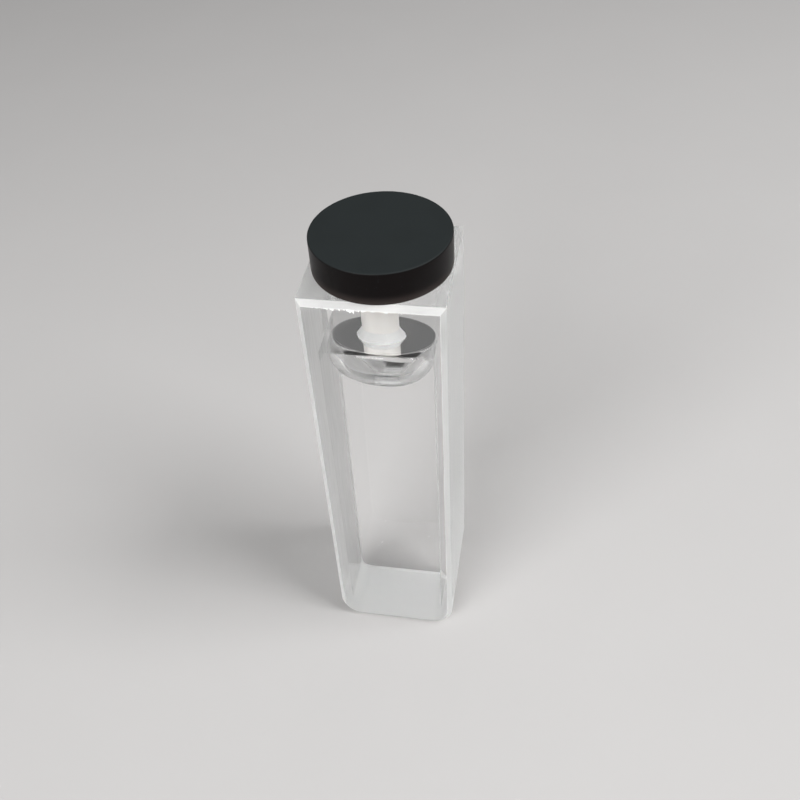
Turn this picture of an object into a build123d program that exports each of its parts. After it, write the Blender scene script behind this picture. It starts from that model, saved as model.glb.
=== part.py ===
"""A sealed square cuvette: a fused quartz cell, 10 mm light path, closed for good.

Two polished windows close the front and the back of a U-shaped side frame. A quartz block closes
the top. A white stem fills the bore of the block, and a black cap sits on the stem and the rim.
The cell is full of clear liquid, apart from one air bubble under the block.

Axes: X across the windows, Y from the front window to the rear one, +Z up.
Origin: the middle of the base, on the surface that the cell stands on. Millimetres.
"""

import os

from build123d import *

# The cell
outer_width = 12.5  # X
outer_depth = 12.5  # Y, over both windows
cell_height = 45.0
window_thickness = 1.25
side_wall = 1.25
floor_thickness = 1.25
heel_radius = 2.3  # lower outer corners, seen from the front
edge_bevel = 0.45  # ground bevel round each window's outer face

# The block that closes the top, and its bore
block_height = 6.0
bore_diameter = 3.3
flare_diameter = 4.4  # ground flare where the bore leaves the underside of the block
flare_height = 0.9

# The stem and the cap
stem_clearance = 0.02  # each side, in the bore and in the cap
cap_diameter = 12.2
cap_thickness = 3.1
cap_socket_depth = 1.9
cap_edge_break = 0.15

# The bubble under the block
film_thickness = 0.1  # liquid left between the bubble and the nearest wall
bubble_offset = 0.05  # towards +X
bubble_contact_inset = 0.35  # how much narrower it is where it meets the block
bubble_shoulder = 2.2  # from the block down to its widest level
bubble_belly = 3.1  # from there down to its lowest point

# Worked out from the sizes above
cavity_width = outer_width - 2 * side_wall
cavity_depth = outer_depth - 2 * window_thickness
block_bottom = cell_height - block_height
inner_heel_radius = heel_radius - min(side_wall, floor_thickness)
stem_radius = bore_diameter / 2 - stem_clearance
socket_top = cell_height + cap_socket_depth
bubble_radius = min(cavity_width, cavity_depth) / 2 - bubble_offset - film_thickness
bubble_contact_radius = bubble_radius - bubble_contact_inset
bubble_widest = block_bottom - bubble_shoulder

front_joint = Plane.XZ.offset(cavity_depth / 2)
rear_joint = Plane.XZ.offset(-cavity_depth / 2)
bubble_plane = Plane(origin=(bubble_offset, 0, 0), x_dir=(1, 0, 0), z_dir=(0, -1, 0))


def cell_outline():
    """The front outline of the cell, with its two lower corners rounded, standing on the base."""
    with BuildSketch() as outline:
        Rectangle(outer_width, cell_height, align=(Align.CENTER, Align.MIN))
        fillet(outline.vertices().group_by(Axis.Y)[0], heel_radius)
    return outline.sketch


def cavity_outline():
    """The front outline of the space inside the side frame, up to the top of the cell."""
    with BuildSketch() as outline:
        with Locations((0, floor_thickness)):
            Rectangle(
                cavity_width, cell_height - floor_thickness, align=(Align.CENTER, Align.MIN)
            )
        fillet(outline.vertices().group_by(Axis.Y)[0], inner_heel_radius)
    return outline.sketch


# Side frame: both side walls and the floor, one piece
with BuildPart() as side_frame:
    with BuildSketch(front_joint):
        add(cell_outline())
        add(cavity_outline(), mode=Mode.SUBTRACT)
    extrude(amount=-cavity_depth)
side_frame.part.label = "side_frame"

# Windows: the same outline as the cell, with a bevel round the outer face
with BuildPart() as front_window:
    with BuildSketch(front_joint):
        add(cell_outline())
    extrude(amount=window_thickness)
    chamfer(front_window.faces().sort_by(Axis.Y)[0].edges(), edge_bevel)
front_window.part.label = "front_window"

with BuildPart() as rear_window:
    with BuildSketch(rear_joint):
        add(cell_outline())
    extrude(amount=-window_thickness)
    chamfer(rear_window.faces().sort_by(Axis.Y)[-1].edges(), edge_bevel)
rear_window.part.label = "rear_window"

# Top block: fills the frame from wall to wall, bored through for the stem
with BuildPart() as top_block:
    with BuildSketch(Plane.XY.offset(block_bottom)):
        Rectangle(cavity_width, cavity_depth)
        Circle(bore_diameter / 2, mode=Mode.SUBTRACT)
    extrude(amount=block_height)
    with BuildSketch(Plane.XZ):
        with BuildLine():
            Polyline(
                (0, block_bottom),
                (flare_diameter / 2, block_bottom),
                (bore_diameter / 2, block_bottom + flare_height),
                (0, block_bottom + flare_height),
                close=True,
            )
        make_face()
    revolve(axis=Axis.Z, mode=Mode.SUBTRACT)
top_block.part.label = "top_block"

# Stem: a white rod, flush with the underside of the block, glued into the cap
with BuildPart() as stem:
    with BuildSketch(Plane.XY.offset(block_bottom)):
        Circle(stem_radius)
    extrude(amount=socket_top - block_bottom)
stem.part.label = "stem"

# Cap: a black disc with a blind socket for the stem
with BuildPart() as cap:
    with BuildSketch(Plane.XY.offset(cell_height)):
        Circle(cap_diameter / 2)
    extrude(amount=cap_thickness)
    chamfer(cap.faces().sort_by(Axis.Z)[-1].edges(), cap_edge_break)
    with BuildSketch(Plane.XY.offset(cell_height)):
        Circle(stem_radius + stem_clearance)
    extrude(amount=cap_socket_depth, mode=Mode.SUBTRACT)
cap.part.label = "cap"

# Liquid: the whole cavity under the block, apart from the bubble
with BuildPart() as liquid:
    with BuildSketch(front_joint):
        add(cavity_outline())
        with Locations((0, block_bottom)):
            Rectangle(
                cavity_width,
                block_height,
                align=(Align.CENTER, Align.MIN),
                mode=Mode.SUBTRACT,
            )
    extrude(amount=-cavity_depth)
    with BuildSketch(bubble_plane):
        with BuildLine():
            belly = EllipticalCenterArc(
                (0, bubble_widest),
                bubble_radius,
                bubble_belly,
                start_angle=-90,
                arc_size=90,
            )
            shoulder = TangentArc(
                (bubble_radius, bubble_widest),
                (bubble_contact_radius, block_bottom),
                tangent=(0, 1),
            )
            Polyline(shoulder @ 1, (0, block_bottom), belly @ 0)
        make_face()
    revolve(axis=Axis((bubble_offset, 0, 0), (0, 0, 1)), mode=Mode.SUBTRACT)
liquid.part.label = "liquid"

pieces = (side_frame, front_window, rear_window, top_block, stem, cap, liquid)

if __name__ == "__main__":
    os.makedirs("parts", exist_ok=True)
    for piece in pieces:
        export_step(piece.part, f"parts/{piece.part.label}.step")
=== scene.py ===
"""A sealed quartz cuvette with a white stem and a black cap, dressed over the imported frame.

The four quartz pieces are fused on the real cell, so one closed mesh stands for them and light
bends only where quartz meets air or liquid. The liquid is a closed mesh of its own, with the
bubble as a dent in its top. Lengths are in millimetres and become metres in the mesh, except the
studio's places and distances, which are in metres. The pieces' places come from the frame's boxes.
"""

import logging
import math
from dataclasses import dataclass, field
from enum import Enum
from typing import Callable, Sequence

import bmesh
import bpy
from mathutils import Matrix, Vector, noise


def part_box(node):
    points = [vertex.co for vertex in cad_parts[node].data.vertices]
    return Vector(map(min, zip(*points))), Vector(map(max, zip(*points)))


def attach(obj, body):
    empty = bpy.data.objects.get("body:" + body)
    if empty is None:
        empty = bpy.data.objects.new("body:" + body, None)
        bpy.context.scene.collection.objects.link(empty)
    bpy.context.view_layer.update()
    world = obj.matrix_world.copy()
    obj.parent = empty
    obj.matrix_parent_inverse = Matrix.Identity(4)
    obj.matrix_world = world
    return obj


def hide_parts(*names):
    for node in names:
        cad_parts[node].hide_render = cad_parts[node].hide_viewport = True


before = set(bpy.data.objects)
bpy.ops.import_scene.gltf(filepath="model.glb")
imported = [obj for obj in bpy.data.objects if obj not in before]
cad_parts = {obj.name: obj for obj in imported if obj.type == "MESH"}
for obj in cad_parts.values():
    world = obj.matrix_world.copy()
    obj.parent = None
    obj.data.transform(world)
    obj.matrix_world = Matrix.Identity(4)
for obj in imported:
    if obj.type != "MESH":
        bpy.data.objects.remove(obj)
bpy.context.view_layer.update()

LOG = logging.getLogger("cuvette")
MM = 0.001
QUARTZ_IOR = 1.458
LIQUID_IOR = 1.345
OUTER_HEEL = 2.3
INNER_HEEL = 1.05
STEM_GAP = 0.02

Point = tuple[float, float]
Stretch = tuple[float, float, float]
Tone = tuple[float, float, float]
Colour = Tone | bpy.types.NodeSocket
Place = tuple[float, float, float]


# ---------------------------------------------------------------------------------------------
# Shader building
# ---------------------------------------------------------------------------------------------


class Field:
    """A value socket in a node tree. Python's operators on it add the Math nodes."""

    def __init__(self, sheet: "NodeSheet", socket: bpy.types.NodeSocket) -> None:
        """Wraps one output socket of a sheet's tree."""
        self.sheet = sheet
        self.socket = socket

    def _math(self, operation: str, *terms: "Field | float", clamp: bool = False) -> "Field":
        """Adds one Math node.

        Args:
            operation: The Math node's operation.
            terms: Its inputs in order.
            clamp: True to hold the result between 0 and 1.

        Returns:
            The node's result.
        """
        settings = {"operation": operation, "use_clamp": clamp}
        node = self.sheet.add("ShaderNodeMath", settings, dict(enumerate(terms)))
        return Field(self.sheet, node.outputs[0])

    def __add__(self, other: "Field | float") -> "Field":
        """self + other."""
        return self._math("ADD", self, other)

    __radd__ = __add__

    def __sub__(self, other: "Field | float") -> "Field":
        """self - other."""
        return self._math("SUBTRACT", self, other)

    def __rsub__(self, other: float) -> "Field":
        """other - self."""
        return self._math("SUBTRACT", other, self)

    def __mul__(self, other: "Field | float") -> "Field":
        """self * other."""
        return self._math("MULTIPLY", self, other)

    __rmul__ = __mul__

    def sine(self) -> "Field":
        """The sine of an angle in radians."""
        return self._math("SINE", self)

    def cosine(self) -> "Field":
        """The cosine of an angle in radians."""
        return self._math("COSINE", self)

    def rounded(self) -> "Field":
        """The nearest whole number."""
        return self._math("ROUND", self)

    def clipped(self) -> "Field":
        """The value held between 0 and 1."""
        return self._math("ADD", self, 0.0, clamp=True)

    def ramp(self, low: float, high: float) -> "Field":
        """A smooth step from 0 to 1.

        Args:
            low: The value where the step starts.
            high: The value where it ends.

        Returns:
            The step.
        """
        settings = {"interpolation_type": "SMOOTHSTEP"}
        inputs = {"Value": self, "From Min": low, "From Max": high}
        node = self.sheet.add("ShaderNodeMapRange", settings, inputs)
        return Field(self.sheet, node.outputs["Result"])


class NodeSheet:
    """A node tree that nodes are written into."""

    def __init__(self, tree: bpy.types.NodeTree) -> None:
        """Empties a tree and takes it over."""
        self.tree = tree
        self.tree.nodes.clear()

    def add(
        self,
        kind: str,
        settings: dict[str, object] | None = None,
        inputs: dict[str | int, object] | None = None,
    ) -> bpy.types.Node:
        """Adds a node.

        Args:
            kind: The node's type.
            settings: Its properties, set before its sockets. "stops" fills a colour ramp.
            inputs: Values, sockets or Fields by socket name or number.

        Returns:
            The new node.
        """
        node = self.tree.nodes.new(kind)
        for name, value in (settings or {}).items():
            if name == "stops":
                self._fill_ramp(node.color_ramp, value)
            else:
                setattr(node, name, value)
        for name, value in (inputs or {}).items():
            value = value.socket if isinstance(value, Field) else value
            if isinstance(value, bpy.types.NodeSocket):
                self.tree.links.new(value, node.inputs[name])
            else:
                node.inputs[name].default_value = value
        return node

    @staticmethod
    def _fill_ramp(ramp: bpy.types.ColorRamp, stops: Sequence[tuple[float, tuple]]) -> None:
        """Sets a ramp's stops.

        Args:
            ramp: The colour ramp.
            stops: Pairs of place and RGB colour, at least two.
        """
        while len(ramp.elements) < len(stops):
            ramp.elements.new(0.5)
        for element, (place, colour) in zip(ramp.elements, stops):
            element.position = place
            element.color = (*colour, 1.0)

    def split(self, vector: bpy.types.NodeSocket) -> tuple[Field, Field, Field]:
        """A vector's X, Y and Z."""
        node = self.add("ShaderNodeSeparateXYZ", inputs={0: vector})
        return tuple(Field(self, node.outputs[i]) for i in range(3))


class SurfaceSheet(NodeSheet):
    """One material's tree, with the object's own coordinates at hand."""

    BLEND_COLOURS = (6, 7)
    BLEND_RESULT = 2

    def __init__(self, name: str) -> None:
        """Starts an empty tree in a new material.

        Args:
            name: The material's name.
        """
        self.material = bpy.data.materials.new(name)
        self.material.use_nodes = True
        super().__init__(self.material.node_tree)
        self.output = self.add("ShaderNodeOutputMaterial")
        self.place = self.add("ShaderNodeTexCoord").outputs["Object"]

    def axes(self) -> tuple[Field, Field, Field]:
        """The place on the object as three values, in metres."""
        return self.split(self.place)

    def grain(
        self, size: float, stretch: Sequence[float] = (1, 1, 1), detail: float = 3.0
    ) -> Field:
        """Noise fixed to the object.

        Args:
            size: The width of one blotch, in millimetres.
            stretch: How much longer a blotch is along X, Y and Z.
            detail: The noise's detail.

        Returns:
            A value about 0.5.
        """
        scale = tuple(1 / (size * MM * s) for s in stretch)
        mapped = self.add("ShaderNodeMapping", inputs={"Vector": self.place, "Scale": scale})
        inputs = {"Vector": mapped.outputs[0], "Scale": 1.0, "Detail": detail}
        node = self.add("ShaderNodeTexNoise", {"noise_dimensions": "3D"}, inputs)
        return Field(self, node.outputs["Fac"])

    def blend(self, share: Field, first: Colour, second: Colour) -> bpy.types.NodeSocket:
        """A colour between two.

        Args:
            share: 0 for the first colour, 1 for the second.
            first: RGB, or a colour's socket.
            second: The same.

        Returns:
            The colour's socket.
        """
        settings = {"data_type": "RGBA", "clamp_factor": True}
        inputs = {0: share}
        for socket, colour in zip(self.BLEND_COLOURS, (first, second)):
            linked = isinstance(colour, bpy.types.NodeSocket)
            inputs[socket] = colour if linked else (*colour, 1.0)
        return self.add("ShaderNodeMix", settings, inputs).outputs[self.BLEND_RESULT]

    def relief(
        self, height: Field, depth: float, strength: float = 1.0
    ) -> bpy.types.NodeSocket:
        """A bumped normal.

        Args:
            height: The height, from 0 to 1.
            depth: What a height of 1 stands for, in millimetres.
            strength: The Bump node's strength.

        Returns:
            The normal's socket.
        """
        inputs = {"Height": height, "Distance": depth * MM, "Strength": strength}
        return self.add("ShaderNodeBump", inputs=inputs).outputs[0]

    def principled(self, **inputs: object) -> bpy.types.NodeSocket:
        """Adds a Principled shader.

        Args:
            inputs: Socket values or links, with _ for a space in the socket's name.

        Returns:
            The shader's socket.
        """
        named = {name.replace("_", " "): value for name, value in inputs.items()}
        return self.add("ShaderNodeBsdfPrincipled", inputs=named).outputs[0]

    def mixed(
        self, share: Field | float, first: bpy.types.NodeSocket, second: bpy.types.NodeSocket
    ) -> bpy.types.NodeSocket:
        """Mixes two shaders.

        Args:
            share: 0 for the first shader, 1 for the second.
            first: A shader's socket.
            second: Another shader's socket.

        Returns:
            The mixed shader's socket.
        """
        inputs = {0: share, 1: first, 2: second}
        return self.add("ShaderNodeMixShader", inputs=inputs).outputs[0]

    def end(self, shader: bpy.types.NodeSocket) -> bpy.types.Material:
        """Ends the tree in a shader and returns the finished material."""
        self.tree.links.new(shader, self.output.inputs["Surface"])
        return self.material

    def shade(self, **inputs: object) -> bpy.types.Material:
        """Ends the tree in one Principled shader, with the same inputs as principled."""
        return self.end(self.principled(**inputs))


# ---------------------------------------------------------------------------------------------
# Finishes
# ---------------------------------------------------------------------------------------------


@dataclass(frozen=True)
class PolishedQuartz:
    """Clear quartz against air, with the faintest haze of handling."""

    haze: float = 0.012
    smear_size: float = 4.0
    smear_stretch: Stretch = (1, 1, 2.5)
    smear_range: Point = (0.52, 0.8)

    def material(self) -> bpy.types.Material:
        """Builds the material.

        Returns:
            The material.
        """
        sheet = SurfaceSheet("polished_quartz")
        smear = sheet.grain(self.smear_size, self.smear_stretch).ramp(*self.smear_range)
        return sheet.shade(
            Base_Color=(1.0, 1.0, 1.0, 1.0),
            Roughness=smear * self.haze,
            IOR=QUARTZ_IOR,
            Transmission_Weight=1.0,
        )


@dataclass(frozen=True)
class WettedQuartz:
    """Quartz against the liquid, where light bends only a little."""

    haze: float = 0.004
    film_size: float = 6.0

    def material(self) -> bpy.types.Material:
        """Builds the material.

        Returns:
            The material.
        """
        sheet = SurfaceSheet("wetted_quartz")
        film = sheet.grain(self.film_size)
        return sheet.shade(
            Base_Color=(1.0, 1.0, 1.0, 1.0),
            Roughness=film * self.haze,
            IOR=QUARTZ_IOR / LIQUID_IOR,
            Transmission_Weight=1.0,
        )


@dataclass(frozen=True)
class GroundQuartz:
    """Ground quartz: a rough clear skin with a white bloom, streaked by the wheel."""

    name: str = "ground_quartz"
    roughness: float = 0.45
    variation: float = 0.10
    bloom: float = 0.38
    streaking: float = 0.28
    foot_bloom: float = 0.75
    foot_low: float = 0.3
    foot_high: float = 2.6
    see_through: float = 0.5
    grain_size: float = 0.07
    streak_size: float = 0.35
    streak_stretch: Stretch = (1, 1, 14)
    streak_share: float = 0.7
    relief_depth: float = 0.004
    bloom_roughness: float = 0.7
    glass: Tone = (0.95, 0.96, 0.955)
    clear: Tone = (1.0, 1.0, 1.0)
    white: Tone = (0.95, 0.955, 0.945)
    bright: Tone = (0.99, 0.99, 0.985)

    def material(self) -> bpy.types.Material:
        """Builds the material: rough glass, mixed with white where the grinding is deeper.

        Returns:
            The material.
        """
        sheet = SurfaceSheet(self.name)
        streak = sheet.grain(self.streak_size, self.streak_stretch)
        fine = sheet.grain(self.grain_size, detail=1.0)
        worn = (streak * self.streak_share + fine * (1 - self.streak_share)).clipped()
        height = sheet.axes()[2]
        rise = height.ramp(self.foot_low * MM, self.foot_high * MM)
        share = (streak - 0.5) * self.streaking + (1 - rise) * self.foot_bloom + self.bloom
        normal = sheet.relief(fine, self.relief_depth)
        glass = sheet.principled(
            Base_Color=sheet.blend(worn, self.glass, self.clear),
            Roughness=worn * self.variation + (self.roughness - self.variation / 2),
            IOR=QUARTZ_IOR,
            Transmission_Weight=1.0,
            Normal=normal,
        )
        tone = sheet.blend(worn, self.white, self.bright)
        surface = sheet.principled(
            Base_Color=tone, Roughness=self.bloom_roughness, Normal=normal
        )
        inner = (*self.white, 1.0)
        depth = sheet.add("ShaderNodeBsdfTranslucent", inputs={"Color": inner}).outputs[0]
        bloom = sheet.mixed(rise * self.see_through, surface, depth)
        return sheet.end(sheet.mixed(share.clipped(), glass, bloom))


@dataclass(frozen=True)
class BoreCement:
    """The thin white film that holds the stem in the bore, with painted shade of the cap: darker
    and browner toward the top.
    """

    top_level: float
    white: Tone = (0.98, 0.96, 0.93)
    # Painted shade: the darker, browner tone the film is given where the cap shades it.
    painted_cap_shade: Tone = (0.85, 0.785, 0.71)
    painted_cap_shade_depth: float = 4.0
    painted_cap_shade_share: float = 0.85
    cloud_size: float = 0.9
    cloud_stretch: Stretch = (1, 1, 2)
    cloud_share: float = 0.25
    roughness: float = 0.5
    variation: float = 0.1

    def material(self) -> bpy.types.Material:
        """Builds the material.

        Returns:
            The material.
        """
        sheet = SurfaceSheet("bore_cement")
        height = sheet.axes()[2]
        # Painted shade: the film darkens toward the top, where the cap shades the bore.
        rise = height.ramp((self.top_level - self.painted_cap_shade_depth) * MM, self.top_level * MM)
        cloud = sheet.grain(self.cloud_size, self.cloud_stretch)
        share = (rise * self.painted_cap_shade_share + cloud * self.cloud_share).clipped()
        tone = sheet.blend(share, self.white, self.painted_cap_shade)
        return sheet.shade(Base_Color=tone, Roughness=cloud * self.variation + self.roughness)


@dataclass(frozen=True)
class CapGlue:
    """The dark film under the cap, with a few paler spots where it is thin."""

    film: Tone = (0.010, 0.009, 0.010)
    thin: Tone = (0.035, 0.033, 0.034)
    spot_size: float = 0.8
    spot_range: Point = (0.55, 0.75)
    roughness: float = 0.4
    variation: float = 0.2
    shine: float = 0.1

    def material(self) -> bpy.types.Material:
        """Builds the material.

        Returns:
            The material.
        """
        sheet = SurfaceSheet("cap_glue")
        spots = sheet.grain(self.spot_size).ramp(*self.spot_range)
        return sheet.shade(
            Base_Color=sheet.blend(spots, self.film, self.thin),
            Roughness=spots * self.variation + self.roughness,
            Specular_IOR_Level=self.shine,
        )


@dataclass(frozen=True)
class BubbleSkin:
    """Where the liquid meets the bubble."""

    haze: float = 0.004
    ripple_size: float = 3.0

    def material(self) -> bpy.types.Material:
        """Builds the material.

        Returns:
            The material.
        """
        sheet = SurfaceSheet("bubble_skin")
        ripple = sheet.grain(self.ripple_size, detail=1.0)
        return sheet.shade(
            Base_Color=(1.0, 1.0, 1.0, 1.0),
            Roughness=ripple * self.haze,
            IOR=LIQUID_IOR,
            Transmission_Weight=1.0,
        )


@dataclass(frozen=True)
class WettedWall:
    """The liquid's sides. The quartz round it already bends the light, so they add nothing."""

    def material(self) -> bpy.types.Material:
        """Builds the material.

        Returns:
            The material.
        """
        sheet = SurfaceSheet("wetted_wall")
        clear = sheet.add("ShaderNodeBsdfTransparent", inputs={"Color": (1, 1, 1, 1)})
        return sheet.end(clear.outputs[0])


@dataclass(frozen=True)
class CapPlastic:
    """Black plastic with a dusty, rougher top and smoother sides. The top is paler partly for its
    dull finish and partly as painted light from above; the lower edge of the side has a painted
    glow of light bounced up from below.
    """

    low_level: float
    top_level: float
    dark: Tone = (0.003, 0.002, 0.002)
    # Partly painted light: the top's paler tone stands for its dull dusty finish and for light
    # falling on it from above.
    matte_and_lit_top: Tone = (0.0145, 0.0175, 0.018)
    # Painted light: the paler tone low on the side, standing in for light bounced up from below.
    painted_bounce_glow: Tone = (0.032, 0.025, 0.023)
    grain_size: float = 0.11
    relief_depth: float = 0.006
    relief_strength: float = 0.6
    roughness: float = 0.34
    top_roughness: float = 0.22
    variation: float = 0.08
    shine: float = 0.08
    cover: float = 0.82
    cloud_size: float = 3.5
    cloud_share: float = 0.36
    dust_share: float = 0.5
    dust_size: float = 0.16
    dust_range: Point = (0.79, 0.83)
    edge_fade: Point = (0.12, 0.02)
    painted_bounce_reach: Point = (-0.1, 1.0)

    def material(self) -> bpy.types.Material:
        """Builds the material.

        Returns:
            The material.
        """
        sheet = SurfaceSheet("cap_plastic")
        height = sheet.axes()[2]
        on_top = height.ramp(*((self.top_level - drop) * MM for drop in self.edge_fade))
        fine = sheet.grain(self.grain_size, detail=2.0)
        cloud = sheet.grain(self.cloud_size, detail=2.0)
        dust = sheet.grain(self.dust_size, detail=0.0).ramp(*self.dust_range)
        # Partly painted light: the top is paler than the sides, for its dull dusty finish and as
        # painted light from above.
        matte_and_lit_top = on_top * (self.cover + cloud * self.cloud_share)
        tone = (matte_and_lit_top + dust * self.dust_share).clipped()
        # Painted light: the side lightens toward its lower edge, as if lit by light bounced up
        # from the glass and floor.
        rim = 1 - height.ramp(*((self.low_level + rise) * MM for rise in self.painted_bounce_reach))
        body = sheet.blend(rim, self.dark, self.painted_bounce_glow)
        return sheet.shade(
            Base_Color=sheet.blend(tone, body, self.matte_and_lit_top),
            Roughness=on_top * self.top_roughness + fine * self.variation + self.roughness,
            Specular_IOR_Level=self.shine,
            Normal=sheet.relief(fine, self.relief_depth, self.relief_strength),
        )


@dataclass(frozen=True)
class StemPolymer:
    """White fluoropolymer with the faint rings of turning."""

    white: Tone = (0.95, 0.94, 0.92)
    shade_tone: Tone = (0.88, 0.87, 0.845)
    ring_height: float = 0.12
    ring_stretch: Stretch = (40, 40, 1)
    ring_depth: float = 0.006
    ring_strength: float = 0.5
    cloud_size: float = 1.2
    roughness: float = 0.34
    variation: float = 0.12
    inner_glow: float = 0.25
    glow_depth: Tone = (0.0012, 0.0011, 0.0010)

    def material(self) -> bpy.types.Material:
        """Builds the material.

        Returns:
            The material.
        """
        sheet = SurfaceSheet("stem_polymer")
        rings = sheet.grain(self.ring_height, self.ring_stretch, detail=1.0)
        cloud = sheet.grain(self.cloud_size)
        return sheet.shade(
            Base_Color=sheet.blend(cloud, self.shade_tone, self.white),
            Roughness=rings * self.variation + self.roughness,
            Subsurface_Weight=self.inner_glow,
            Subsurface_Radius=self.glow_depth,
            Subsurface_Scale=1.0,
            Normal=sheet.relief(rings, self.ring_depth, self.ring_strength),
        )


# ---------------------------------------------------------------------------------------------
# Mesh helpers
# ---------------------------------------------------------------------------------------------


class Closing(Enum):
    """Whether a strip of faces joins its last point to its first."""

    OPEN = 0
    ROUND = 1


Row = list[bmesh.types.BMVert]


@dataclass
class MeshMaker:
    """Builds one closed mesh from rows of points."""

    name: str
    bm: bmesh.types.BMesh = field(default_factory=bmesh.new)
    same_level: float = 1e-7

    def row(self, points: Sequence[Sequence[float]]) -> Row:
        """Adds points, given in millimetres."""
        return [self.bm.verts.new(Vector(p) * MM) for p in points]

    def strip(self, first: Row, second: Row, slot: int, closing: Closing) -> None:
        """Joins two rows of the same length by quads.

        Args:
            first: One row.
            second: The other row.
            slot: The material slot of the faces.
            closing: Whether the rows are rings.
        """
        count = len(first)
        last = count if closing is Closing.ROUND else count - 1
        for i in range(last):
            j = (i + 1) % count
            face = self.bm.faces.new((first[i], first[j], second[j], second[i]))
            face.material_index = slot

    def lid(self, ring: Row, slot: int) -> None:
        """Closes a ring with one flat face."""
        self.bm.faces.new(ring).material_index = slot

    def fan(self, ring: Row, tip: Sequence[float], slot: int) -> None:
        """Closes a ring with triangles that meet at a point.

        Args:
            ring: The ring.
            tip: The point, in millimetres.
            slot: The material slot of the faces.
        """
        top = self.bm.verts.new(Vector(tip) * MM)
        for i, vert in enumerate(ring):
            after = ring[(i + 1) % len(ring)]
            self.bm.faces.new((vert, after, top)).material_index = slot

    def fill_level(self, level: float, slot: int) -> None:
        """Fills the open edges that lie at one height, with any holes between them.

        Args:
            level: The height in millimetres.
            slot: The material slot of the faces.
        """
        edges = [
            edge
            for edge in self.bm.edges
            if len(edge.link_faces) == 1
            and all(abs(v.co.z - level * MM) < self.same_level for v in edge.verts)
        ]
        made = bmesh.ops.triangle_fill(
            self.bm, use_beauty=True, use_dissolve=False, edges=edges, normal=(0, 0, 1)
        )
        for item in made["geom"]:
            if isinstance(item, bmesh.types.BMFace):
                item.material_index = slot

    def finish(self, materials: Sequence[bpy.types.Material], crease: float) -> bpy.types.Object:
        """Makes the object.

        Args:
            materials: One for each slot.
            crease: The angle in degrees from which an edge stays sharp.

        Returns:
            The object, at the origin.
        """
        bmesh.ops.recalc_face_normals(self.bm, faces=self.bm.faces)
        for face in self.bm.faces:
            face.smooth = True
        mesh = bpy.data.meshes.new(self.name)
        self.bm.to_mesh(mesh)
        self.bm.free()
        for material in materials:
            mesh.materials.append(material)
        mesh.set_sharp_from_angle(angle=math.radians(crease))
        piece = bpy.data.objects.new(self.name, mesh)
        bpy.context.scene.collection.objects.link(piece)
        return piece


def circle(
    radius: float,
    level: float,
    segments: int,
    change: Callable[[float], float] = lambda turn: 0.0,
) -> list[Place]:
    """Points on a level circle about Z.

    Args:
        radius: Its radius in millimetres.
        level: Its height in millimetres.
        segments: How many points.
        change: What to add to the radius at an angle, in millimetres.

    Returns:
        The points, anticlockwise from above.
    """
    points = []
    for i in range(segments):
        turn = math.tau * i / segments
        reach = radius + change(turn)
        points.append((reach * math.cos(turn), reach * math.sin(turn), level))
    return points


def box_mm(node: str) -> tuple[Vector, Vector]:
    """The lowest and highest corners of a CAD node, in millimetres."""
    low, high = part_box(node)
    return Vector(low) / MM, Vector(high) / MM


@dataclass(frozen=True)
class HeelOutline:
    """A standing rectangle whose two lower corners are rounded, seen from the front."""

    half_width: float
    base: float
    top: float
    heel: float
    side_steps: int = 12
    arc_steps: int = 14
    floor_steps: int = 10
    top_steps: int = 150
    guard: float = 0.25

    def wall(self, inset: float = 0.0) -> list[Point]:
        """The outline without its top: down the left side, across, and up the right side.

        Args:
            inset: How far the points lie inside the outline.

        Returns:
            Points in X and Z, symmetric about the middle.
        """
        edge = self.half_width - inset
        radius = self.heel - inset
        bend = self.base + self.heel
        height = self.top - inset
        left = [(-edge, height)]
        for i in range(1, self.side_steps):
            share = i / self.side_steps
            left.append((-edge, height + (bend + self.guard - height) * share))
        left.append((-edge, bend + self.guard))
        for i in range(self.arc_steps + 1):
            turn = math.pi + math.pi / 2 * i / self.arc_steps
            x = -(self.half_width - self.heel) + radius * math.cos(turn)
            left.append((x, bend + radius * math.sin(turn)))
        start = self.half_width - self.heel - self.guard
        left.append((-start, self.base + inset))
        middle = [
            (-start + 2 * start * i / self.floor_steps, self.base + inset)
            for i in range(1, self.floor_steps)
        ]
        return left + middle + [(-x, z) for x, z in reversed(left)]

    def crown(self, inset: float, drop: Callable[[float], float]) -> list[Point]:
        """The top of the outline from right to left, without its ends.

        Args:
            inset: How far the points lie inside the outline.
            drop: How much further down a point lies, from its X.

        Returns:
            Points in X and Z.
        """
        edge = self.half_width - inset
        points = []
        for i in range(1, self.top_steps):
            x = edge - 2 * edge * i / self.top_steps
            points.append((x, self.top - inset - drop(x)))
        return points


# ---------------------------------------------------------------------------------------------
# The object
# ---------------------------------------------------------------------------------------------


class Quartz(Enum):
    """The material slots of the quartz cell, in the order of quartz_finishes."""

    POLISHED = 0
    GROUND = 1
    WETTED = 2
    COARSE = 3
    CHIPPED = 4
    CEMENTED = 5
    GLUED = 6
    FINE = 7


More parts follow.
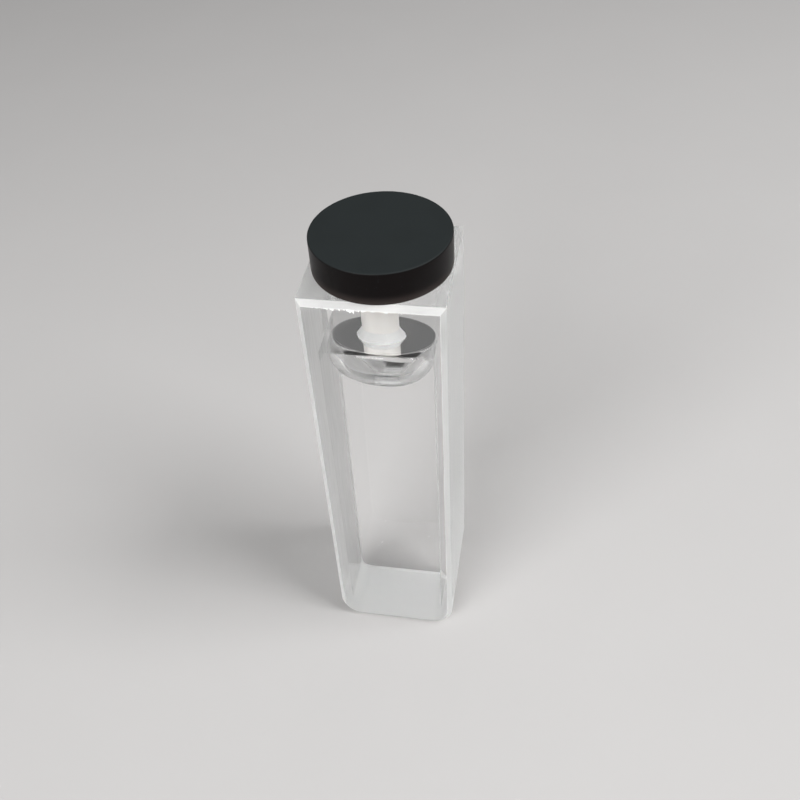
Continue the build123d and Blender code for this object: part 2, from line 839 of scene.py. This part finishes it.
@dataclass
class Bubble:
    """The air bubble under the block, squeezed by the four walls."""

    level: float
    contact_radius: float = 4.5
    contact_centre: Point = (0.25, 0.09)
    belly_centre: Point = (0.02, 0.0)
    belly_radius: float = 4.9
    shoulder: float = 0.9
    belly: float = 4.55
    fullness: float = 2.15
    squareness: float = 3.0
    segments: int = 128
    shoulder_rings: int = 12
    belly_rings: int = 30
    drift: float = 1.4

    def ring(self, radius: float, level: float, toward: float) -> list[Place]:
        """One level ring.

        Args:
            radius: Half its width across the flats.
            level: Its height.
            toward: 0 for a circle at the contact, 1 for the squarish belly.

        Returns:
            The points.
        """
        power = 2.0 + (self.squareness - 2.0) * toward
        centre = [
            a + (b - a) * min(1.0, toward * self.drift)
            for a, b in zip(self.contact_centre, self.belly_centre)
        ]
        points = []
        for i in range(self.segments):
            turn = math.tau * i / self.segments
            c, s = math.cos(turn), math.sin(turn)
            reach = radius / (abs(c) ** power + abs(s) ** power) ** (1 / power)
            points.append((centre[0] + reach * c, centre[1] + reach * s, level))
        return points

    def rings(self) -> list[list[Place]]:
        """All rings from the contact down to just above the lowest point.

        Returns:
            The rings, the contact first.
        """
        made = []
        spread = self.belly_radius - self.contact_radius
        for i in range(self.shoulder_rings + 1):
            angle = math.pi / 2 * i / self.shoulder_rings
            radius = self.contact_radius + spread * math.sin(angle)
            level = self.level - self.shoulder * (1 - math.cos(angle))
            made.append(self.ring(radius, level, math.sin(angle)))
        widest = self.level - self.shoulder
        for i in range(1, self.belly_rings):
            angle = math.pi / 2 * i / self.belly_rings
            radius = self.belly_radius * math.cos(angle) ** (2 / self.fullness)
            level = widest - self.belly * math.sin(angle) ** (2 / self.fullness)
            made.append(self.ring(radius, level, math.cos(angle) ** 2))
        return made

    def tip(self) -> Place:
        """The lowest point."""
        return (*self.belly_centre, self.level - self.shoulder - self.belly)


def quartz_finishes(top_level: float) -> list[bpy.types.Material]:
    """The materials of the quartz cell.

    Args:
        top_level: The height of the block's top face, in millimetres.

    Returns:
        The materials in the order of Quartz.
    """
    finishes = (
        PolishedQuartz(),
        GroundQuartz(),
        WettedQuartz(),
        GroundQuartz("coarse_ground", roughness=0.55, bloom=0.60),
        GroundQuartz(
            "chipped_quartz", roughness=0.6, bloom=0.97, streaking=0.1, see_through=0.15
        ),
        BoreCement(top_level),
        CapGlue(),
        GroundQuartz("fine_ground", roughness=0.24, bloom=0.16, streaking=0.12),
    )
    return [finish.material() for finish in finishes]


@dataclass
class QuartzCell:
    """The fused body: two windows, the side frame and the top block."""

    outside: HeelOutline
    cavity: HeelOutline
    half_depth: float
    cavity_half_depth: float
    bore_radius: float
    bubble: Bubble
    bevel: float = 0.45
    flare_radius: float = 2.16
    flare_height: float = 0.9
    flare_chips: float = 0.11
    glue_radius: float = 5.7
    segments: int = 128
    edge_wear: float = 0.02
    chip_depth: float = 0.32
    chip_middle: float = -1.3
    chip_reach: float = 3.0
    chip_pitch: float = 3.1
    chip_noise: tuple[float, float, int] = (0.5, 2.1, 5)
    wear_pitch: float = 9.0
    nick_depth: float = 0.035
    nick_pitch: float = 7.0
    flare_pitch: float = 2.0
    flare_noise: tuple[float, float, int] = (0.7, 2.0, 4)

    def chips(self, x: float) -> float:
        """How far the ragged lower edge of the front bevel drops.

        Args:
            x: The place along the edge.

        Returns:
            The drop, largest near the middle of the worn stretch.
        """
        zone = math.exp(-(((x - self.chip_middle) / self.chip_reach) ** 4))
        rough = noise.fractal(Vector((x * self.chip_pitch, 4.7, 0.0)), *self.chip_noise)
        worn = 0.5 + 0.5 * noise.noise(Vector((x * self.wear_pitch, 1.1, 7.0)))
        return zone * self.chip_depth * max(0.0, 0.25 + rough) + self.nick_depth * worn

    def nicks(self, x: float) -> float:
        """The same for the other bevels' edges, which are cleaner."""
        spot = Vector((x * self.nick_pitch, 9.3, 2.0))
        return self.nick_depth * (0.5 + 0.5 * noise.noise(spot))

    def flare_wobble(self, turn: float) -> float:
        """How far the chipped mouth of the bore reaches past its circle."""
        spot = Vector((math.cos(turn), math.sin(turn), 3.3)) * self.flare_pitch
        return self.flare_chips * noise.fractal(spot, *self.flare_noise)

    def loop(self, inset: float, y: float, drop: Callable[[float], float]) -> list[Place]:
        """The whole outline at one depth.

        Args:
            inset: How far inside the outline.
            y: The depth.
            drop: The extra drop of the top edge.

        Returns:
            Points in X, Y and Z.
        """
        flat = self.outside.wall(inset) + self.outside.crown(inset, drop)
        return [(x, y, z) for x, z in flat]

    def build(self, finishes: Sequence[bpy.types.Material]) -> bpy.types.Object:
        """Makes the closed mesh.

        Args:
            finishes: The materials in the order of Quartz.

        Returns:
            The piece.
        """
        maker = MeshMaker("quartz_cell")
        self._outer_shell(maker)
        self._inner_shell(maker)
        self._bore(maker)
        maker.fill_level(self.outside.top, Quartz.FINE.value)
        maker.fill_level(self.cavity.top, Quartz.WETTED.value)
        return maker.finish(finishes, crease=20.0)

    def _outer_shell(self, maker: MeshMaker) -> None:
        """The two faces, their bevels and the ground sides, open along the top.

        Args:
            maker: The mesh to add them to.
        """
        shoulder = self.half_depth - self.bevel
        sides = []
        for sign, drop in ((-1, self.chips), (1, self.nicks)):
            depth = sign * self.half_depth
            face = maker.row(self.loop(self.bevel + self.edge_wear, depth, drop))
            foot = maker.row(self.loop(self.bevel, depth, lambda x: 0.0))
            edge = maker.row(self.loop(0.0, sign * shoulder, lambda x: 0.0))
            maker.lid(face, Quartz.POLISHED.value)
            maker.strip(face, foot, Quartz.CHIPPED.value, Closing.ROUND)
            maker.strip(foot, edge, Quartz.COARSE.value, Closing.ROUND)
            sides.append(edge)
        count = len(self.outside.wall())
        front, rear = (side[:count] for side in sides)
        maker.strip(front, rear, Quartz.GROUND.value, Closing.OPEN)

    def _inner_shell(self, maker: MeshMaker) -> None:
        """The cavity's walls and floor, open at the underside of the block.

        Args:
            maker: The mesh to add them to.
        """
        rows = []
        for y in (-self.cavity_half_depth, self.cavity_half_depth):
            row = maker.row([(x, y, z) for x, z in self.cavity.wall()])
            maker.lid(row, Quartz.WETTED.value)
            rows.append(row)
        maker.strip(rows[0], rows[1], Quartz.WETTED.value, Closing.OPEN)

    def _bore(self, maker: MeshMaker) -> None:
        """The bore, its chipped mouth, the glued top and the dry disc over the bubble.

        Args:
            maker: The mesh to add them to.
        """
        low, high = self.cavity.top, self.outside.top
        levels = (high, low + self.flare_height)
        top, throat = (
            maker.row(circle(self.bore_radius, z, self.segments)) for z in levels
        )
        glue = maker.row(circle(self.glue_radius, high, self.segments))
        mouth = maker.row(
            circle(self.flare_radius, low, self.segments, change=self.flare_wobble)
        )
        contact = maker.row(self.bubble.rings()[0])
        maker.strip(glue, top, Quartz.GLUED.value, Closing.ROUND)
        maker.strip(top, throat, Quartz.CEMENTED.value, Closing.ROUND)
        maker.strip(throat, mouth, Quartz.CHIPPED.value, Closing.ROUND)
        maker.strip(mouth, contact, Quartz.POLISHED.value, Closing.ROUND)


class Liquid(Enum):
    """The material slots of the liquid."""

    WALL = 0
    BUBBLE = 1


@dataclass
class LiquidFill:
    """The liquid, a hair inside the cavity, with the bubble pressed into its top."""

    cavity: HeelOutline
    half_depth: float
    bubble: Bubble
    hair: float = 0.01

    def build(self, finishes: Sequence[bpy.types.Material]) -> bpy.types.Object:
        """Makes the closed mesh.

        Args:
            finishes: The materials in the order of Liquid.

        Returns:
            The piece.
        """
        maker = MeshMaker("clear_liquid")
        depth = self.half_depth - self.hair
        rows = []
        for y in (-depth, depth):
            row = maker.row([(x, y, z) for x, z in self.cavity.wall(self.hair)])
            maker.lid(row, Liquid.WALL.value)
            rows.append(row)
        maker.strip(rows[0], rows[1], Liquid.WALL.value, Closing.OPEN)
        level = self.cavity.top - self.hair
        rings = self.bubble.rings()
        rings[0] = [(x, y, level) for x, y, _ in rings[0]]
        made = [maker.row(ring) for ring in rings]
        for upper, lower in zip(made, made[1:]):
            maker.strip(upper, lower, Liquid.BUBBLE.value, Closing.ROUND)
        maker.fan(made[-1], self.bubble.tip(), Liquid.BUBBLE.value)
        maker.fill_level(level, Liquid.WALL.value)
        return maker.finish(finishes, crease=50.0)


class LatheSheet(NodeSheet):
    """The Geometry Nodes tree that turns a profile about Z.

    The profile is a chain of points with the radius in X and the height in Z. A grid with one
    column for each step round and one row for each point is bent onto them, and its seam and
    the points on the axis are welded.
    """

    INPUTS = (
        ("Profile", "NodeSocketGeometry"),
        ("Steps Round", "NodeSocketInt"),
        ("Weld", "NodeSocketFloat"),
        ("Finish", "NodeSocketMaterial"),
    )

    def __init__(self) -> None:
        """Writes the tree."""
        super().__init__(bpy.data.node_groups.new("lathe", "GeometryNodeTree"))
        for name, kind in self.INPUTS:
            self.tree.interface.new_socket(name=name, in_out="INPUT", socket_type=kind)
        self.tree.interface.new_socket(
            name="Turned", in_out="OUTPUT", socket_type="NodeSocketGeometry"
        )
        given = self.add("NodeGroupInput").outputs
        profile = given["Profile"]
        count = self.add(
            "GeometryNodeAttributeDomainSize", {"component": "MESH"}, {"Geometry": profile}
        )
        rows = Field(self, count.outputs["Point Count"])
        place = self.add("GeometryNodeInputPosition").outputs[0]
        grid = self.add(
            "GeometryNodeMeshGrid",
            inputs={
                "Size X": 1.0,
                "Size Y": 1.0,
                "Vertices X": Field(self, given["Steps Round"]) + 1,
                "Vertices Y": rows,
            },
        )
        across, along, _ = self.split(place)
        turn = (across + 0.5) * math.tau
        sample = self.add(
            "GeometryNodeSampleIndex",
            {"data_type": "FLOAT_VECTOR", "domain": "POINT"},
            {
                "Geometry": profile,
                "Value": place,
                "Index": ((along + 0.5) * (rows - 1)).rounded(),
            },
        )
        radius, _, height = self.split(sample.outputs[0])
        spot = self.add(
            "ShaderNodeCombineXYZ",
            inputs={0: radius * turn.cosine(), 1: radius * turn.sine(), 2: height},
        )
        bent = self.add(
            "GeometryNodeSetPosition",
            inputs={"Geometry": grid.outputs["Mesh"], "Position": spot.outputs[0]},
        )
        welded = self.add(
            "GeometryNodeMergeByDistance",
            inputs={"Geometry": bent.outputs[0], "Distance": given["Weld"]},
        )
        whole = self.add("GeometryNodeRealizeInstances", inputs={0: welded.outputs[0]})
        dressed = self.add(
            "GeometryNodeSetMaterial",
            inputs={"Geometry": whole.outputs[0], "Material": given["Finish"]},
        )
        self.add("NodeGroupOutput", inputs={0: dressed.outputs[0]})

    def socket(self, name: str) -> str:
        """The identifier of a named input."""
        return self.tree.interface.items_tree[name].identifier


@dataclass
class TurnedPiece:
    """A piece turned on Z from a profile of radius and height."""

    name: str
    profile: Sequence[Point]
    segments: int = 160
    weld: float = 0.0005

    def build(self, finish: bpy.types.Material, crease: float) -> bpy.types.Object:
        """Makes the closed mesh.

        Args:
            finish: Its material.
            crease: The angle in degrees from which an edge stays sharp.

        Returns:
            The piece.
        """
        chain = bpy.data.meshes.new(f"{self.name}_profile")
        points = [(r * MM, 0.0, z * MM) for r, z in self.profile]
        links = [(i, i + 1) for i in range(len(points) - 1)]
        chain.from_pydata(points, links, [])
        blank = bpy.data.objects.new(f"{self.name}_blank", chain)
        bpy.context.scene.collection.objects.link(blank)
        lathe = LatheSheet()
        turning = blank.modifiers.new("lathe", "NODES")
        turning.node_group = lathe.tree
        turning[lathe.socket("Steps Round")] = self.segments
        turning[lathe.socket("Weld")] = self.weld * MM
        turning[lathe.socket("Finish")] = finish
        ready = blank.evaluated_get(bpy.context.evaluated_depsgraph_get())
        mesh = bpy.data.meshes.new_from_object(ready)
        mesh.name = self.name
        blank.modifiers.remove(turning)
        bpy.data.objects.remove(blank)
        return self._piece(mesh, crease)

    def _piece(self, mesh: bpy.types.Mesh, crease: float) -> bpy.types.Object:
        """Turns the faces outwards, smooths them and makes the object.

        Args:
            mesh: The turned mesh.
            crease: The angle in degrees from which an edge stays sharp.

        Returns:
            The piece.
        """
        bm = bmesh.new()
        bm.from_mesh(mesh)
        bmesh.ops.recalc_face_normals(bm, faces=bm.faces)
        for face in bm.faces:
            face.smooth = True
        bm.to_mesh(mesh)
        bm.free()
        mesh.set_sharp_from_angle(angle=math.radians(crease))
        piece = bpy.data.objects.new(self.name, mesh)
        bpy.context.scene.collection.objects.link(piece)
        return piece


@dataclass
class Cap:
    """The black disc that sits on the rim, with a blind socket for the stem."""

    low: Vector
    high: Vector
    socket_radius: float
    socket_top: float
    lip: float = 0.16
    seat: float = 0.004
    lower_edge: float = 0.05
    support: float = 0.15
    top_support: float = 0.2
    arc_steps: int = 8

    def profile(self) -> list[Point]:
        """The section from the socket's roof, round the disc, to the middle of the top.

        Returns:
            Points of radius and height.
        """
        radius = (self.high.x - self.low.x) / 2
        under = self.low.z + self.seat
        over = self.high.z
        points = [
            (0.0, self.socket_top),
            (self.socket_radius, self.socket_top),
            (self.socket_radius, under),
            (radius - self.lower_edge, under),
            (radius, under + self.lower_edge),
            (radius, over - self.lip - self.support),
        ]
        for i in range(self.arc_steps + 1):
            turn = math.pi / 2 * i / self.arc_steps
            reach = radius - self.lip + self.lip * math.cos(turn)
            points.append((reach, over - self.lip + self.lip * math.sin(turn)))
        return points + [(radius - self.lip - self.top_support, over), (0.0, over)]

    def build(self) -> bpy.types.Object:
        """Makes the cap."""
        finish = CapPlastic(self.low.z, self.high.z).material()
        return TurnedPiece("black_cap", self.profile()).build(finish, crease=35.0)


@dataclass
class Stem:
    """The white rod in the bore."""

    low: Vector
    high: Vector
    bevel: float = 0.06
    base_gap: float = 0.01
    top_gap: float = 0.02
    segments: int = 128

    def build(self) -> bpy.types.Object:
        """Makes the stem, a hair short at both ends.

        Returns:
            The piece.
        """
        radius = (self.high.x - self.low.x) / 2
        base, top = self.low.z + self.base_gap, self.high.z - self.top_gap
        profile = [
            (0.0, base),
            (radius - self.bevel, base),
            (radius, base + self.bevel),
            (radius, top - self.bevel),
            (radius - self.bevel, top),
            (0.0, top),
        ]
        turned = TurnedPiece("white_stem", profile, self.segments)
        return turned.build(StemPolymer().material(), crease=25.0)


# ---------------------------------------------------------------------------------------------
# The studio
# ---------------------------------------------------------------------------------------------


@dataclass(frozen=True)
class SoftBox:
    """One soft lamp aimed at the cell."""

    name: str
    place: Place
    size: float
    watts: float

    def build(self, aim: Vector) -> None:
        """Makes the lamp.

        Args:
            aim: Where it points, in metres.
        """
        data = bpy.data.lights.new(self.name, "AREA")
        data.shape = "SQUARE"
        data.size = self.size
        data.energy = self.watts
        lamp = bpy.data.objects.new(self.name, data)
        lamp.location = self.place
        lamp.rotation_euler = (aim - Vector(self.place)).to_track_quat("-Z", "Y").to_euler()
        bpy.context.scene.collection.objects.link(lamp)


@dataclass
class Studio:
    """The pale floor, the soft light and the camera. Angles are in degrees."""

    floor_tone: Tone = (0.42, 0.412, 0.408)
    near: float = 0.12
    far: float = 0.6
    horizon: float = 0.50
    wall: float = 0.14
    ceiling: float = 0.50
    ramp_places: tuple[float, ...] = (0.0, 0.08, 0.36, 0.80, 0.97)
    floor_gap: float = 0.03
    floor_reach: float = 2.0
    cloud_size: float = 18.0
    cloud_lift: float = 1.03
    fibre_size: float = 0.25
    fibre_depth: float = 0.01
    aim: Place = (0.00071, 0.0, 0.02859)
    distance: float = 0.0915
    azimuth: float = 12.11
    elevation: float = 44.04
    roll: float = -3.88
    lens: float = 42.47
    lamps: tuple[SoftBox, ...] = (
        SoftBox("key", (0.28, -0.04, 0.36), 0.24, 2.2),
        SoftBox("fill", (-0.14, -0.32, 0.26), 0.26, 1.8),
    )

    def build(self) -> None:
        """Makes the whole stage."""
        self._floor()
        self._world()
        self._camera()
        for lamp in self.lamps:
            lamp.build(Vector(self.aim))
        bpy.context.scene.view_settings.view_transform = "Standard"

    def _floor(self) -> None:
        """A wide level sheet of pale card that fades into the horizon."""
        sheet = SurfaceSheet("pale_card")
        cloud = sheet.grain(self.cloud_size, detail=2.0)
        fibre = sheet.grain(self.fibre_size, detail=2.0)
        paler = [channel * self.cloud_lift for channel in self.floor_tone]
        card = sheet.principled(
            Base_Color=sheet.blend(cloud, self.floor_tone, paler),
            Roughness=0.75,
            Specular_IOR_Level=0.2,
            Normal=sheet.relief(fibre, self.fibre_depth, 0.25),
        )
        haze = sheet.add("ShaderNodeEmission", inputs={"Color": (*[self.horizon] * 3, 1.0)})
        across, along, _ = sheet.axes()
        far = (across * across + along * along).ramp(self.near**2, self.far**2)
        material = sheet.end(sheet.mixed(far, card, haze.outputs[0]))
        mesh = bpy.data.meshes.new("floor")
        bm = bmesh.new()
        bmesh.ops.create_grid(bm, x_segments=1, y_segments=1, size=self.floor_reach)
        bm.to_mesh(mesh)
        bm.free()
        mesh.materials.append(material)
        mesh.transform(Matrix.Translation((0.0, 0.0, -self.floor_gap * MM)))
        floor = bpy.data.objects.new("floor", mesh)
        bpy.context.scene.collection.objects.link(floor)

    def _world(self) -> None:
        """A plain room: pale at the horizon, a dim wall above it, and a lit ceiling."""
        world = bpy.data.worlds.new("surround")
        world.use_nodes = True
        sheet = NodeSheet(world.node_tree)
        height = sheet.split(sheet.add("ShaderNodeTexCoord").outputs["Object"])[2]
        levels = (self.horizon, self.horizon, self.wall, self.wall, self.ceiling)
        stops = [(place, (level,) * 3) for place, level in zip(self.ramp_places, levels)]
        ramp = sheet.add("ShaderNodeValToRGB", {"stops": stops}, {0: height})
        glow = sheet.add("ShaderNodeBackground", inputs={"Color": ramp.outputs[0]})
        sheet.add("ShaderNodeOutputWorld", inputs={"Surface": glow.outputs[0]})
        bpy.context.scene.world = world

    def _camera(self) -> None:
        """The view from above the front, a little to the right."""
        data = bpy.data.cameras.new("view")
        data.lens = self.lens
        data.clip_start = 0.001
        camera = bpy.data.objects.new("view", data)
        rise, swing = math.radians(self.elevation), math.radians(self.azimuth)
        flat = math.cos(rise)
        back = Vector((math.sin(swing) * flat, -math.cos(swing) * flat, math.sin(rise)))
        camera.location = Vector(self.aim) + back * self.distance
        level = back.to_track_quat("Z", "Y").to_matrix()
        rolled = level @ Matrix.Rotation(math.radians(self.roll), 3, "Z")
        camera.rotation_euler = rolled.to_euler()
        bpy.context.scene.collection.objects.link(camera)
        bpy.context.scene.camera = camera


def seat(piece: bpy.types.Object, slot: str, *nodes: str) -> None:
    """Puts a piece on the body, hides the CAD nodes that it replaces and logs its face count.

    Args:
        piece: The finished piece.
        slot: The record's material slot. It is not used.
        nodes: The CAD nodes that it replaces.
    """
    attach(piece, "root")
    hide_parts(*nodes)
    LOG.info("%s: %d faces", piece.name, len(piece.data.polygons))


def main() -> None:
    """Builds the object and the stage."""
    logging.basicConfig(level=logging.INFO, format="%(name)s: %(message)s")
    window_low, _ = box_mm("front_window")
    frame_low, frame_high = box_mm("side_frame")
    block_low, block_high = box_mm("top_block")
    stem_low, stem_high = box_mm("stem")
    cap_low, cap_high = box_mm("cap")
    liquid_low, liquid_high = box_mm("liquid")
    outside = HeelOutline(frame_high.x, frame_low.z, frame_high.z, OUTER_HEEL)
    cavity = HeelOutline(liquid_high.x, liquid_low.z, liquid_high.z, INNER_HEEL)
    bubble = Bubble(level=block_low.z)
    bore_radius = stem_high.x + STEM_GAP

    cell = QuartzCell(outside, cavity, -window_low.y, liquid_high.y, bore_radius, bubble)
    quartz = cell.build(quartz_finishes(block_high.z))
    seat(quartz, "clear_quartz", "front_window", "rear_window", "side_frame", "top_block")
    fill = LiquidFill(cavity, liquid_high.y, bubble)
    liquid = fill.build([WettedWall().material(), BubbleSkin().material()])
    seat(liquid, "clear_liquid", "liquid")
    cap = Cap(cap_low, cap_high, bore_radius, stem_high.z)
    seat(cap.build(), "black_cap", "cap")
    seat(Stem(stem_low, stem_high).build(), "white_stem", "stem")

    Studio().build()


if __name__ == "__main__":
    main()
